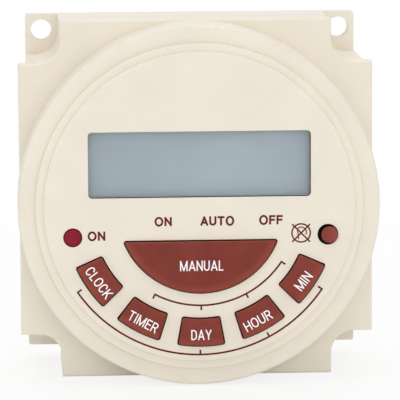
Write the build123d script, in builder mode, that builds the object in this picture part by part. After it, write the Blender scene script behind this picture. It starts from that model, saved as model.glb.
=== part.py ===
from build123d import *
from math import asin, cos, degrees, radians, sin
import os

os.makedirs("parts", exist_ok=True)

# The timer stands upright with its face forward. X runs to the right of someone who looks at the
# face, Z runs up, and -Y points forward, out of the face. The origin is the centre of the flat back
# that lies against the mounting plate. A depth is a distance forward of that back, so it lies at
# y = -depth. All sizes are in millimetres.

# Clearances
fit_gap = 0.1
slide_gap = 0.15
free_gap = 0.3
thread_gap = 0.03

# Square base housing
base_width = 60.0
base_extra_height = 1.0
base_front = 21.2
base_wall = 2.4
base_front_wall = 2.0
base_edge_round = 0.4
notch_width = 7.0
notch_height = 7.3
notch_round = 3.9
base_height = base_width + base_extra_height

# Step behind the front panel: the body there is narrower and a little lower than the panel
panel_thickness = 2.0
body_side_step = 1.4
body_top_step = 0.55
body_width = base_width - 2 * body_side_step
body_top = base_height / 2 - body_top_step

# Back plate with the two mounting ears, as wide and as high as the body
plate_thickness = 2.75
plate_bottom_gap = 2.3
plate_round = 0.5
plate_width = body_width
plate_top = body_top
plate_bottom = plate_bottom_gap - base_height / 2
ear_hole_r = 1.8
ear_hole_side = 4.15
ear_hole_drop = 3.25
ear_hole_x = base_width / 2 - ear_hole_side
ear_hole_z = base_height / 2 - ear_hole_drop

# Round cap with the collar, the two steps and the face
collar_overhang = 0.35
collar_height = 9.4
collar_round = 0.4
collar_wall = 2.0
ring_ledge = 2.9
ring_step = 0.9
face_ledge = 1.35
face_step = 0.5
step_round = 0.15
face_thickness = 2.0
shoulder_ledge = 0.8
collar_r = base_width / 2 + collar_overhang
ring_r = collar_r - ring_ledge
face_r = ring_r - face_ledge
shoulder_r = face_r + shoulder_ledge
collar_front = base_front + collar_height
ring_front = collar_front + ring_step
face_front = ring_front + face_step
face_rear = face_front - face_thickness
collar_bore_r = collar_r - collar_wall

# The window, the indicator and the keys are laid out on a face of 26.1 radius, and grow with it
face_unit = face_r / 26.1

# Display board, clamped between the cap's shoulder and the base's rim
board_thickness = 1.6
rim_height = 1.8
rim_wall = 1.8
opening_ledge = 1.9
display_board_rear = base_front + rim_height
display_board_front = display_board_rear + board_thickness
display_board_r = collar_bore_r - free_gap
rim_r = collar_bore_r - slide_gap
base_opening_r = rim_r - rim_wall - opening_ledge

# Snap hooks of the cap, on the diagonals
hook_width = 5.0
hook_thickness = 1.2
hook_gap = 0.15
hook_barb = 0.8
hook_barb_height = 1.7
hook_slot_play = 0.3
hook_angle = 45
hook_count = 4
hook_r = collar_bore_r - hook_gap - hook_thickness

# Board screws
board_screw_r = 0.9
board_screw_head_r = 1.7
board_screw_head = 1.2
board_screw_length = 4.2
boss_r = 2.0
cross_width = 0.5
cross_length = 2.2
cross_depth = 0.6
display_boss_r = 1.8
display_head_gap = 0.2
display_screw_r = rim_r - rim_wall - board_screw_head_r - display_head_gap
display_screw_angles = (51.5, 128.5, 174.9, 5.1)

# Window and liquid-crystal cell, which fits between the bosses of the two screws at its sides
window_width = 37.2 * face_unit
window_height = 11.1 * face_unit
window_round = 0.7
window_z = 7.2 * face_unit
lens_recess = 0.8
lens_flange = 1.3
lens_flange_thickness = 1.0
glass_thickness = 1.1
film_thickness = 0.2
film_inset = 0.8
frame_wall = 1.2
frame_boss_gap = 0.25
side_boss_x = display_screw_r * cos(radians(display_screw_angles[3])) - display_boss_r
cell_width = 2 * (side_boss_x - frame_boss_gap - frame_wall - slide_gap)
cell_height = 16.0 * face_unit
cell_front = face_rear - lens_flange_thickness - fit_gap
front_glass_front = cell_front - film_thickness
front_glass_rear = front_glass_front - glass_thickness
rear_glass_rear = front_glass_rear - glass_thickness
zebra_width = 1.5
zebra_side_gap = 0.4
zebra_end_gap = 2.0
zebra_length = cell_width - 2 * zebra_end_gap
rear_glass_height = cell_height - 2 * (zebra_width + zebra_side_gap)

# Silicone mat round the feet of the keys, below the display's frame
mat_thickness = 0.6
mat_edge = 1.3
mat_gap = 0.25
mat_r = shoulder_r - mat_edge
mat_top = window_z - cell_height / 2 - slide_gap - frame_wall - mat_gap
skirt_height = 2.3
skirt_wall = 0.35
skirt_flare = 0.8
mat_front = display_board_front + mat_thickness

# Red indicator
led_drop = 2.48
led_x = -21.24 * face_unit
led_z = mat_top - led_drop
led_r = 1.5
led_flange_r = 1.9
led_flange_thickness = 1.0
led_proud = 0.2
led_height = 5.5
led_front = face_front + led_proud
led_flange_rear = led_front - led_height
led_dome_round = 0.5
led_lead = 0.5
led_lead_pitch = 2.54

# Keys
key_proud = 0.8
key_travel = 0.8
key_gap = 0.24
key_round = 0.4
flange_width = 0.7
flange_thickness = 0.9
flange_gap = 0.05
foot_inset = 0.5
pill_inset = 0.2
pill_thickness = 0.4
pill_gap = 0.05
pad_thickness = 0.1
pad_margin = 0.2
corner_round = 0.45
least_round = 0.2
key_ring_x = 0.12 * face_unit
key_ring_z = -0.7 * face_unit
sector_inner_r = 17.97 * face_unit
sector_outer_r = 22.97 * face_unit
sector_half_angle = 10.3
sector_step_angle = 28.0
manual_drop = 3.1
manual_r = 13.95 * face_unit
manual_top = mat_top - manual_drop
cancel_drop = 2.45
cancel_hole_x = 21.45 * face_unit
cancel_hole_z = mat_top - cancel_drop
cancel_hole_r = 1.76
cancel_key_shift = 0.26
cancel_key_sag = 0.03
cancel_key_x = cancel_hole_x + cancel_key_shift
cancel_key_z = cancel_hole_z - cancel_key_sag
cancel_key_r = 1.37
key_front = face_front + key_proud
flange_front = face_rear - flange_gap
flange_rear = flange_front - flange_thickness
pad_front = display_board_front + pad_thickness
pill_rear = pad_front + key_travel + pill_gap
foot_rear = pill_rear + pill_thickness

# Screws that hold the rear cover to the base
post_r = 2.2
post_gap = 1.1
cover_screw_x = base_width / 2 - base_wall - post_r
cover_screw_z = base_height / 2 - base_wall - notch_height - post_r - post_gap
cover_screw_r = 1.2
cover_screw_length = 9.0
cover_screw_head_r = 2.1
cover_screw_head = 1.5
cover_screw_sink = 1.7

# Terminal trough in the rear cover
trough_wall = 1.5
trough_side_gap = 0.2
trough_drop = 11.1
trough_width = base_width - 2 * (base_wall + notch_width + trough_wall + trough_side_gap)
trough_height = 11.6
trough_z = trough_drop - base_height / 2
trough_depth = 9.2
trough_inner_front = trough_depth + trough_wall
trough_outer_top = trough_z + trough_height / 2 + trough_wall

# Terminals: stamped tabs for 6.3 mm push-on receptacles
terminal_count = 5
terminal_side_gap = 3.7
terminal_pitch = (trough_width - 2 * terminal_side_gap) / (terminal_count - 1)
tab_width = 6.3
tab_thickness = 0.8
tab_rear = 0.9
tab_round = 0.8
tab_hole_r = 0.9
tab_hole_depth = 3.2
bridge_height = 2.2
bridge_overhang = 1.0
leg_width = 1.3
leg_gap = 2.5
leg_z = trough_outer_top + leg_gap
solder_length = 0.6

# Power board on the rear cover
power_board_rear = 4.0
power_board_front = power_board_rear + board_thickness
locating_rib_wall = 1.2
locating_rib_height = 1.2
locating_rib_top = 28.0
locating_rib_side = 18.0
board_gap = 0.6
screw_edge = 2.4
power_board_width = 2 * (cover_screw_x - post_r - board_gap)
power_board_neck = base_width - 2 * (base_wall + notch_width + board_gap)
power_board_bottom = trough_outer_top + board_gap
power_board_shoulder = base_height / 2 - base_wall - notch_height - board_gap
power_board_top = base_height / 2 - base_wall - slide_gap - locating_rib_wall - board_gap
power_screw_points = (
    (-(power_board_width / 2 - screw_edge), leg_z),
    (power_board_width / 2 - screw_edge, leg_z),
    (-(power_board_neck / 2 - screw_edge), power_board_top - screw_edge),
    (power_board_neck / 2 - screw_edge, power_board_top - screw_edge),
)

# The parts on the power board are laid out for a board 45.2 wide with 30.05 of height free between
# the heads of its screws, and shrink or grow with it
parts_bottom_gap = 2.0
parts_top_gap = 3.7
parts_bottom = leg_z + parts_bottom_gap
parts_height = power_board_top - parts_top_gap - parts_bottom
parts_unit = min(power_board_width / 45.2, parts_height / 30.05)
parts_z = parts_bottom + 14.925 * parts_unit

# Link between the boards
link_pin_count = 8
link_pin_pitch = 2.54 * parts_unit
link_pin = 0.64
link_z = parts_z + 13.875 * parts_unit
link_strip = 2.5

# Relay: the places inside it are counted from its middle, and the heights from the board
relay_x = -7.5 * parts_unit
relay_z = parts_z - 8.575 * parts_unit
relay_length = 29.0 * parts_unit
relay_width = 12.7 * parts_unit
relay_head_gap = 1.7
relay_height = display_board_rear - power_board_front - relay_head_gap
relay_wall = 0.8
relay_base_lift = 0.4
relay_base_thickness = 1.6
yoke_thickness = 1.2
yoke_width = 9.0 * parts_unit
yoke_left = -12.9 * parts_unit
yoke_right = 1.2 * parts_unit
yoke_head_gap = 2.3
yoke_top = relay_height - yoke_head_gap
core_r = 2.0 * parts_unit
pole_r = 3.0 * parts_unit
pole_thickness = 0.8
bobbin_wall = 0.45
bobbin_flange_width = 9.0 * parts_unit
bobbin_flange_thickness = 0.8
winding_r = 4.0 * parts_unit
armature_gap = 0.5
armature_thickness = 1.2
armature_width = 8.4 * parts_unit
armature_low = 3.8
armature_head_gap = 2.7
armature_high = relay_height - armature_head_gap
spring_thickness = 0.25
spring_width = 5.0 * parts_unit
spring_low = 5.0
spring_head_gap = 3.3
spring_high = relay_height - spring_head_gap
spring_right = 9.2 * parts_unit
contact_r = 1.0
contact_height = 0.4
contact_x = 7.9 * parts_unit
contact_travel = 0.42
contact_rest_gap = 0.05
fixed_plate_thickness = 0.6
fixed_plate_width = 4.0 * parts_unit
open_post_x = 6.5 * parts_unit
closed_post_x = 11.4 * parts_unit
coil_pin_x = -9.0 * parts_unit
coil_pin_z = 4.2 * parts_unit
relay_pin = 0.9
relay_pin_hole_r = 0.8

# Capacitors, varistor, diodes, resistors, transistor and backup cell on the power board
film_capacitor_x = 16.6 * parts_unit
film_capacitor_z = parts_z - 5.825 * parts_unit
film_capacitor_width = 8.0 * parts_unit
film_capacitor_length = 18.0 * parts_unit
film_capacitor_height = 13.0
film_lead_pitch = 15.0 * parts_unit
moulded_round = 0.5
smoothing_capacitor_x = -14.5 * parts_unit
smoothing_capacitor_z = parts_z + 4.675 * parts_unit
smoothing_capacitor_r = 5.0 * parts_unit
smoothing_capacitor_height = 12.5
smoothing_lead_pitch = 2.5 * parts_unit
varistor_x = 9.8 * parts_unit
varistor_z = parts_z - 8.525 * parts_unit
varistor_r = 5.0 * parts_unit
varistor_thickness = 3.6 * parts_unit
varistor_stand = 1.0
varistor_round = 1.0
varistor_lead_pitch = 5.0 * parts_unit
diode_x = -3.6 * parts_unit
diode_first_z = parts_z + 0.675 * parts_unit
diode_count = 4
diode_pitch = 3.0 * parts_unit
diode_r = 1.2 * parts_unit
diode_length = 5.0 * parts_unit
resistor_x = (3.2 * parts_unit, 7.2 * parts_unit)
resistor_z = parts_z + 5.075 * parts_unit
resistor_r = 1.5 * parts_unit
resistor_length = 8.0 * parts_unit
lead_r = 0.3
lead_length = 1.2 * parts_unit
lead_bend_r = 0.6
lead_stand = 0.4
transistor_x = -14.0 * parts_unit
transistor_z = parts_z + 13.075 * parts_unit
transistor_r = 2.3 * parts_unit
transistor_height = 4.6
transistor_stand = 1.2
transistor_pitch = 1.27 * parts_unit
transistor_flat = 1.4 * parts_unit
battery_x = 14.6 * parts_unit
battery_z = parts_z + 9.075 * parts_unit
battery_r = 4.9 * parts_unit
battery_height = 5.0
battery_tab_width = 3.0 * parts_unit
battery_tab_thickness = 0.3

# Parts on the back of the display board
controller_width = 9.0
controller_thickness = 1.4
controller_z = 11.0 * face_unit
crystal_x = -11.5 * face_unit
crystal_z = 12.5 * face_unit
crystal_r = 1.25
crystal_length = 7.0
chip_length = 2.0
chip_width = 1.25
chip_thickness = 0.6
chip_columns = 5
chip_pitch = 3.6
chip_rows = (-9.0 * face_unit, -12.5 * face_unit)

FORWARD = (Align.CENTER, Align.MAX, Align.CENTER)


def level(depth):
    """Plane parallel to the back, facing forward, at that depth."""
    return Plane.XZ.offset(depth)


def at(x, depth, z):
    """Place on the timer, given by its depth forward of the back."""
    return Location((x, -depth, z))


def save(piece, name):
    """Label one finished piece and write it to its own file."""
    piece.part.label = name
    export_step(piece.part, f"parts/{name}.step")


def base_outline(inset):
    """Outline of the square base with its four notches, drawn smaller by inset all round."""
    with BuildSketch() as outline:
        Rectangle(base_width - 2 * inset, base_height - 2 * inset)
        with Locations(*mirrored(base_width / 2, base_height / 2)):
            RectangleRounded(
                2 * (notch_width + inset),
                2 * (notch_height + inset),
                notch_round + inset,
                mode=Mode.SUBTRACT,
            )
    return outline.sketch


def mirrored(x, z):
    """The same place in all four quadrants."""
    return ((x, z), (-x, z), (-x, -z), (x, -z))


def rounded(outline, margin):
    """Round the corners of a key outline, less where the outline is drawn smaller."""
    fillet(outline.vertices(), max(corner_round - margin, least_round))


def sector_outline(angle, margin):
    """Ring sector of one small key, drawn inside its aperture by margin."""
    inner = sector_inner_r + margin
    outer = sector_outer_r - margin
    half = sector_half_angle - degrees(margin / ((inner + outer) / 2))
    with BuildSketch() as outline:
        with BuildLine():
            inner_arc = CenterArc((key_ring_x, key_ring_z), inner, angle - half, 2 * half)
            outer_arc = CenterArc((key_ring_x, key_ring_z), outer, angle - half, 2 * half)
            Line(inner_arc @ 0, outer_arc @ 0)
            Line(inner_arc @ 1, outer_arc @ 1)
        make_face()
        rounded(outline, margin)
    return outline.sketch


def manual_outline(margin):
    """Half moon of the large key: a straight top over an arc about the centre of the key ring."""
    radius = manual_r - margin
    top = manual_top - margin
    end_angle = degrees(asin((top - key_ring_z) / radius))
    with BuildSketch() as outline:
        with BuildLine():
            arc = CenterArc((key_ring_x, key_ring_z), radius, -180 - end_angle, 180 + 2 * end_angle)
            Line(arc @ 0, arc @ 1)
        make_face()
        rounded(outline, margin)
    return outline.sketch


def cancel_outline(margin):
    """Tiny round key, drawn as the other keys are: at a margin of key_gap it is the key itself."""
    with BuildSketch() as outline:
        with Locations((cancel_key_x, cancel_key_z)):
            Circle(cancel_key_r + key_gap - margin)
    return outline.sketch


def sector_key(position):
    """Outline function of one of the five small keys, counted from the left."""
    angle = -90 + (position - 2) * sector_step_angle
    return lambda margin: sector_outline(angle, margin)


key_outlines = {
    "manual": manual_outline,
    "clock": sector_key(0),
    "timer": sector_key(1),
    "day": sector_key(2),
    "hour": sector_key(3),
    "minute": sector_key(4),
    "cancel": cancel_outline,
}
foot_margin = key_gap + foot_inset
cover_screw_points = mirrored(cover_screw_x, cover_screw_z)
display_screw_points = [
    (display_screw_r * cos(radians(angle)), display_screw_r * sin(radians(angle)))
    for angle in display_screw_angles
]
terminal_places = [(i - (terminal_count - 1) / 2) * terminal_pitch for i in range(terminal_count)]
link_places = [(i - (link_pin_count - 1) / 2) * link_pin_pitch for i in range(link_pin_count)]
diode_places = [diode_first_z + i * diode_pitch for i in range(diode_count)]


def hook_ring(inner, outer, width, depth, height):
    """Blocks on the four diagonals, between two radii, for the hooks and what they pass."""
    with BuildPart() as blocks:
        with BuildSketch(level(depth)):
            with PolarLocations((inner + outer) / 2, hook_count, start_angle=hook_angle):
                Rectangle(outer - inner, width)
        extrude(amount=height)
    return blocks.part


def cross_recess(points, rear):
    """Crosses to cut into screw heads, from the depth rear forward."""
    with BuildPart() as crosses:
        with BuildSketch(level(rear)):
            with Locations(*points):
                Rectangle(cross_length, cross_width)
                Rectangle(cross_width, cross_length)
        extrude(amount=cross_depth)
    return crosses.part


# Front cap
profile_plane = Plane(origin=(0, 0, 0), x_dir=(1, 0, 0), z_dir=(0, 0, -1))
with BuildPart() as front_cap:
    with BuildSketch(profile_plane) as cap_profile:
        with BuildLine():
            Polyline(
                (0, face_rear),
                (shoulder_r, face_rear),
                (shoulder_r, display_board_front),
                (collar_bore_r, display_board_front),
                (collar_bore_r, base_front),
                (collar_r, base_front),
                (collar_r, collar_front),
                (ring_r, collar_front),
                (ring_r, ring_front),
                (face_r, ring_front),
                (face_r, face_front),
                (0, face_front),
                close=True,
            )
        make_face()
        corners = cap_profile.vertices()
        fillet(corners.sort_by_distance((collar_r, collar_front))[0], collar_round)
        fillet(cap_profile.vertices().sort_by_distance((ring_r, ring_front))[0], step_round)
        fillet(cap_profile.vertices().sort_by_distance((face_r, face_front))[0], step_round)
    revolve(axis=Axis.Y)
    with BuildSketch(level(face_rear)):
        with Locations((0, window_z)):
            RectangleRounded(window_width, window_height, window_round)
        with Locations((led_x, led_z)):
            Circle(led_r + fit_gap)
        with Locations((cancel_hole_x, cancel_hole_z)):
            Circle(cancel_hole_r)
        for name, outline in key_outlines.items():
            if name != "cancel":
                add(outline(0))
    extrude(amount=face_thickness, mode=Mode.SUBTRACT)
    with BuildSketch(level(display_board_front)):
        with Locations(*display_screw_points):
            Circle(display_boss_r)
    extrude(amount=face_rear - display_board_front)
    with BuildSketch(level(display_board_front)):
        with Locations(*display_screw_points):
            Circle(board_screw_r + thread_gap)
    extrude(amount=board_screw_length, mode=Mode.SUBTRACT)
    hook_rear = base_front - base_front_wall - fit_gap - hook_barb_height
    arm_r = hook_r + hook_thickness
    arm_length = display_board_front - hook_rear
    add(hook_ring(hook_r, arm_r, hook_width, hook_rear, arm_length))
    add(hook_ring(hook_r, arm_r + hook_barb, hook_width, hook_rear, hook_barb_height))
save(front_cap, "front_cap")

# Base housing
with BuildPart() as base_housing:
    with BuildSketch(level(plate_thickness)):
        add(base_outline(0))
    extrude(amount=base_front - plate_thickness)
    fillet(base_housing.faces().sort_by(Axis.Y)[0].edges(), base_edge_round)
    with BuildSketch(level(plate_thickness)):
        add(base_outline(base_wall))
    extrude(amount=base_front - base_front_wall - plate_thickness, mode=Mode.SUBTRACT)
    body_height = body_top + base_height / 2
    with BuildSketch(level(plate_thickness)):
        add(base_outline(0))
        with Locations((0, body_top - body_height / 2)):
            Rectangle(body_width, body_height, mode=Mode.SUBTRACT)
    extrude(amount=base_front - panel_thickness - plate_thickness, mode=Mode.SUBTRACT)
    with BuildSketch(level(plate_thickness)):
        for x, z in cover_screw_points:
            side = 1 if x > 0 else -1
            wall_x = side * (base_width / 2 - base_wall)
            with Locations((x, z)):
                Circle(post_r)
            with Locations(((x + wall_x) / 2, z)):
                Rectangle(abs(wall_x - x) + fit_gap, 2 * post_r)
    extrude(amount=base_front - base_front_wall - plate_thickness + fit_gap)
    with BuildSketch(level(plate_thickness)):
        with Locations(*cover_screw_points):
            Circle(cover_screw_r + thread_gap)
    extrude(amount=cover_screw_length, mode=Mode.SUBTRACT)
    with BuildSketch(level(base_front)):
        Circle(rim_r)
        Circle(rim_r - rim_wall, mode=Mode.SUBTRACT)
    extrude(amount=display_board_rear - base_front)
    with BuildSketch(level(plate_thickness)):
        Circle(base_opening_r)
    extrude(amount=display_board_rear - plate_thickness, mode=Mode.SUBTRACT)
    slot_inner = hook_r - hook_slot_play
    slot_outer = arm_r + hook_barb + hook_slot_play
    slot_width = hook_width + 2 * hook_slot_play
    slot_rear = base_front - base_front_wall
    slots = hook_ring(slot_inner, slot_outer, slot_width, slot_rear, display_board_rear - slot_rear)
    add(slots, mode=Mode.SUBTRACT)
save(base_housing, "base_housing")

# Rear cover
power_boss_height = power_board_rear - plate_thickness
plate_height = plate_top - plate_bottom
with BuildPart() as rear_cover:
    with BuildSketch(level(0)):
        with Locations((0, (plate_top + plate_bottom) / 2)):
            RectangleRounded(plate_width, plate_height, plate_round)
        with Locations((ear_hole_x, ear_hole_z), (-ear_hole_x, ear_hole_z)):
            Circle(ear_hole_r, mode=Mode.SUBTRACT)
        with Locations(*cover_screw_points):
            Circle(cover_screw_r + fit_gap, mode=Mode.SUBTRACT)
    extrude(amount=plate_thickness)
    with BuildSketch(level(0)):
        with Locations((0, trough_z)):
            Rectangle(trough_width + 2 * trough_wall, trough_height + 2 * trough_wall)
    extrude(amount=trough_inner_front)
    with BuildSketch(level(0)):
        with Locations((0, trough_z)):
            Rectangle(trough_width, trough_height)
    extrude(amount=trough_depth, mode=Mode.SUBTRACT)
    with BuildSketch(level(trough_depth)):
        with Locations(*[(x, trough_z) for x in terminal_places]):
            Rectangle(tab_thickness + 2 * fit_gap, tab_width + 2 * fit_gap)
    extrude(amount=trough_wall, mode=Mode.SUBTRACT)
    with BuildSketch(level(0)):
        with Locations(*cover_screw_points):
            Circle(cover_screw_head_r + fit_gap)
    extrude(amount=cover_screw_sink, mode=Mode.SUBTRACT)
    with BuildSketch(level(plate_thickness)):
        with Locations(*power_screw_points):
            Circle(boss_r)
    extrude(amount=power_boss_height)
    rib_x = base_width / 2 - base_wall - slide_gap - locating_rib_wall / 2
    rib_z = base_height / 2 - base_wall - slide_gap - locating_rib_wall / 2
    with BuildSketch(level(plate_thickness)):
        with Locations((-rib_x, 0), (rib_x, 0)):
            Rectangle(locating_rib_wall, locating_rib_side)
        with Locations((0, rib_z)):
            Rectangle(locating_rib_top, locating_rib_wall)
    extrude(amount=locating_rib_height)
    with BuildSketch(level(power_board_front - board_screw_length)):
        with Locations(*power_screw_points):
            Circle(board_screw_r + thread_gap)
    extrude(amount=board_screw_length, mode=Mode.SUBTRACT)
save(rear_cover, "rear_cover")

# Screws of the rear cover, with their heads at the back
with BuildPart() as cover_screws:
    with BuildSketch(level(cover_screw_sink - cover_screw_head)):
        with Locations(*cover_screw_points):
            Circle(cover_screw_head_r)
    extrude(amount=cover_screw_head)
    with BuildSketch(level(cover_screw_sink)):
        with Locations(*cover_screw_points):
            Circle(cover_screw_r)
    extrude(amount=cover_screw_length)
    add(cross_recess(cover_screw_points, cover_screw_sink - cover_screw_head), mode=Mode.SUBTRACT)
save(cover_screws, "cover_screws")

# Window lens with the flange that seats behind the face
with BuildPart() as window_lens:
    with BuildSketch(level(face_rear)):
        with Locations((0, window_z)):
            RectangleRounded(
                window_width - 2 * fit_gap, window_height - 2 * fit_gap, window_round - fit_gap
            )
    extrude(amount=face_thickness - lens_recess)
    with BuildSketch(level(face_rear - lens_flange_thickness)):
        with Locations((0, window_z)):
            RectangleRounded(
                window_width + 2 * lens_flange, window_height + 2 * lens_flange, window_round
            )
    extrude(amount=lens_flange_thickness)
save(window_lens, "window_lens")

# Liquid-crystal cell: film, two glasses and the rear film, stacked face to face
with BuildPart() as lcd_polarizer:
    with Locations(at(0, front_glass_front, window_z)):
        Box(cell_width - 2 * film_inset, film_thickness, cell_height - 2 * film_inset, align=FORWARD)
save(lcd_polarizer, "lcd_polarizer")

with BuildPart() as lcd_front_glass:
    with Locations(at(0, front_glass_rear, window_z)):
        Box(cell_width, glass_thickness, cell_height, align=FORWARD)
save(lcd_front_glass, "lcd_front_glass")

with BuildPart() as lcd_rear_glass:
    with Locations(at(0, rear_glass_rear, window_z)):
        Box(cell_width, glass_thickness, rear_glass_height, align=FORWARD)
save(lcd_rear_glass, "lcd_rear_glass")

with BuildPart() as lcd_reflector:
    with Locations(at(0, rear_glass_rear - film_thickness, window_z)):
        Box(
            cell_width - 2 * film_inset,
            film_thickness,
            rear_glass_height - 2 * film_inset,
            align=FORWARD,
        )
save(lcd_reflector, "lcd_reflector")

# Frame round the cell, standing on the display board
frame_width = cell_width + 2 * (slide_gap + frame_wall)
frame_height = cell_height + 2 * (slide_gap + frame_wall)
with BuildPart() as lcd_frame:
    with BuildSketch(level(display_board_front)):
        with Locations((0, window_z)):
            Rectangle(frame_width, frame_height)
            Rectangle(cell_width + 2 * slide_gap, cell_height + 2 * slide_gap, mode=Mode.SUBTRACT)
        Circle(shoulder_r - free_gap, mode=Mode.INTERSECT)
    extrude(amount=cell_front - display_board_front)
save(lcd_frame, "lcd_frame")

# Conductive strips between the board and the ledges of the front glass
zebra_offset = (cell_height - zebra_width) / 2
with BuildPart() as zebra_strips:
    with Locations(
        at(0, display_board_front, window_z + zebra_offset),
        at(0, display_board_front, window_z - zebra_offset),
    ):
        Box(zebra_length, front_glass_rear - display_board_front, zebra_width, align=FORWARD)
save(zebra_strips, "zebra_strips")

# Display board
led_leads = ((led_x - led_lead_pitch / 2, led_z), (led_x + led_lead_pitch / 2, led_z))
link_points = [(x, link_z) for x in link_places]
with BuildPart() as display_board:
    with BuildSketch(level(display_board_rear)):
        Circle(display_board_r)
        with Locations(*display_screw_points, *led_leads):
            Circle(board_screw_r + fit_gap, mode=Mode.SUBTRACT)
        with Locations(*link_points):
            Rectangle(link_pin + 2 * fit_gap, link_pin + 2 * fit_gap, mode=Mode.SUBTRACT)
    extrude(amount=board_thickness)
    notches = hook_ring(slot_inner, collar_bore_r, slot_width, display_board_rear, board_thickness)
    add(notches, mode=Mode.SUBTRACT)
save(display_board, "display_board")

# Screws of the display board, with their heads behind it
with BuildPart() as display_board_screws:
    with BuildSketch(level(display_board_rear - board_screw_head)):
        with Locations(*display_screw_points):
            Circle(board_screw_head_r)
    extrude(amount=board_screw_head)
    with BuildSketch(level(display_board_rear)):
        with Locations(*display_screw_points):
            Circle(board_screw_r)
    extrude(amount=board_screw_length)
    add(cross_recess(display_screw_points, display_board_rear - board_screw_head), mode=Mode.SUBTRACT)
save(display_board_screws, "display_board_screws")

# Contact areas printed on the board under the keys
with BuildPart() as contact_pads:
    with BuildSketch(level(display_board_front)):
        for outline in key_outlines.values():
            add(outline(foot_margin - pad_margin))
    extrude(amount=pad_thickness)
save(contact_pads, "contact_pads")

# Controller, crystal and chips on the back of the display board
with BuildPart() as microcontroller:
    with Locations(at(0, display_board_rear - controller_thickness, controller_z)):
        Box(controller_width, controller_thickness, controller_width, align=FORWARD)
save(microcontroller, "microcontroller")

with BuildPart() as crystal:
    with Locations(at(crystal_x, display_board_rear - crystal_r, crystal_z)):
        Cylinder(crystal_r, crystal_length, rotation=(0, 90, 0))
save(crystal, "crystal")

with BuildPart() as chip_components:
    for row_z in chip_rows:
        for column in range(chip_columns):
            chip_x = (column - (chip_columns - 1) / 2) * chip_pitch
            with Locations(at(chip_x, display_board_rear - chip_thickness, row_z)):
                Box(chip_length, chip_thickness, chip_width, align=FORWARD)
save(chip_components, "chip_components")

# Indicator with its two leads, and the spacer that holds it off the board
with BuildPart() as indicator_led:
    with BuildSketch(level(led_flange_rear)):
        with Locations((led_x, led_z)):
            Circle(led_r)
    extrude(amount=led_front - led_flange_rear)
    fillet(indicator_led.faces().sort_by(Axis.Y)[0].edges(), led_dome_round)
    with BuildSketch(level(led_flange_rear)):
        with Locations((led_x, led_z)):
            Circle(led_flange_r)
    extrude(amount=led_flange_thickness)
    lead_rear = display_board_rear - solder_length
    with BuildSketch(level(lead_rear)):
        with Locations(*led_leads):
            Rectangle(led_lead, led_lead)
    extrude(amount=led_flange_rear - lead_rear)
save(indicator_led, "indicator_led")

with BuildPart() as led_spacer:
    with BuildSketch(level(display_board_front)):
        with Locations((led_x, led_z)):
            Circle(led_flange_r)
        with Locations(*led_leads):
            Circle(led_lead, mode=Mode.SUBTRACT)
    extrude(amount=led_flange_rear - display_board_front)
save(led_spacer, "led_spacer")

# Silicone mat: a web on the board with a flared skirt round the foot of each key
skirt_front = mat_front + skirt_height
skirt_margin = foot_margin - free_gap


def skirt(outline, margin):
    """Frustum round a key's foot, wider at the web by skirt_flare."""
    with BuildPart() as frustum:
        with BuildSketch(level(display_board_front)):
            add(outline(margin - skirt_flare))
        with BuildSketch(level(skirt_front)):
            add(outline(margin))
        loft(ruled=True)
    return frustum.part


with BuildPart() as key_mat:
    with BuildSketch(level(display_board_front)):
        Circle(mat_r)
        with Locations((0, mat_top)):
            Rectangle(2 * mat_r, 2 * mat_r, align=(Align.CENTER, Align.MIN), mode=Mode.SUBTRACT)
        with Locations((led_x, led_z)):
            Circle(led_flange_r + free_gap, mode=Mode.SUBTRACT)
    extrude(amount=mat_thickness)
    for outline in key_outlines.values():
        add(skirt(outline, skirt_margin - skirt_wall))
    for outline in key_outlines.values():
        add(skirt(outline, skirt_margin), mode=Mode.SUBTRACT)
save(key_mat, "key_mat")

# Keys, each with the conductive pill on its foot
for name, outline in key_outlines.items():
    with BuildPart() as key:
        with BuildSketch(level(flange_rear)):
            add(outline(key_gap))
        extrude(amount=key_front - flange_rear)
        fillet(key.faces().sort_by(Axis.Y)[0].edges(), key_round)
        with BuildSketch(level(flange_rear)):
            add(outline(-flange_width))
        extrude(amount=flange_thickness)
        with BuildSketch(level(foot_rear)):
            add(outline(foot_margin))
        extrude(amount=flange_rear - foot_rear)
    save(key, f"{name}_key")
    with BuildPart() as pill:
        with BuildSketch(level(pill_rear)):
            add(outline(foot_margin + pill_inset))
        extrude(amount=pill_thickness)
    save(pill, f"{name}_key_pill")

# Terminals: each a flat stamping whose bridge steps over the trough's wall to the power board
terminal_top = leg_z + leg_width / 2
terminal_bottom = trough_z - tab_width / 2 - bridge_overhang
leg_rear = power_board_rear - solder_length
bridge_front = trough_inner_front + bridge_height
for number, x in enumerate(terminal_places, start=1):
    stamping_plane = Plane(origin=(x, 0, 0), x_dir=(0, -1, 0), z_dir=(-1, 0, 0))
    with BuildPart() as terminal:
        with BuildSketch(stamping_plane):
            with Locations(((trough_inner_front + bridge_front) / 2, (terminal_top + terminal_bottom) / 2)):
                Rectangle(bridge_height, terminal_top - terminal_bottom)
            with Locations(((leg_rear + bridge_front) / 2, leg_z)):
                Rectangle(bridge_front - leg_rear, leg_width)
        extrude(amount=tab_thickness / 2, both=True)
        with BuildSketch(stamping_plane) as blade:
            with Locations(((tab_rear + trough_inner_front) / 2, trough_z)):
                Rectangle(trough_inner_front - tab_rear, tab_width)
            chamfer(blade.vertices().group_by(Axis.X)[0], tab_round)
            with Locations((tab_hole_depth, trough_z)):
                Circle(tab_hole_r, mode=Mode.SUBTRACT)
        extrude(amount=tab_thickness / 2, both=True)
    save(terminal, f"terminal_{number}")

# Places where leads pass through the power board
def beside_relay(x, z):
    """Place in the relay, counted from its centre."""
    return (relay_x + x, relay_z + z)


def in_relay(x, height, z=0):
    """Place in the relay, with its height above the power board."""
    return at(relay_x + x, power_board_front + height, relay_z + z)


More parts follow.
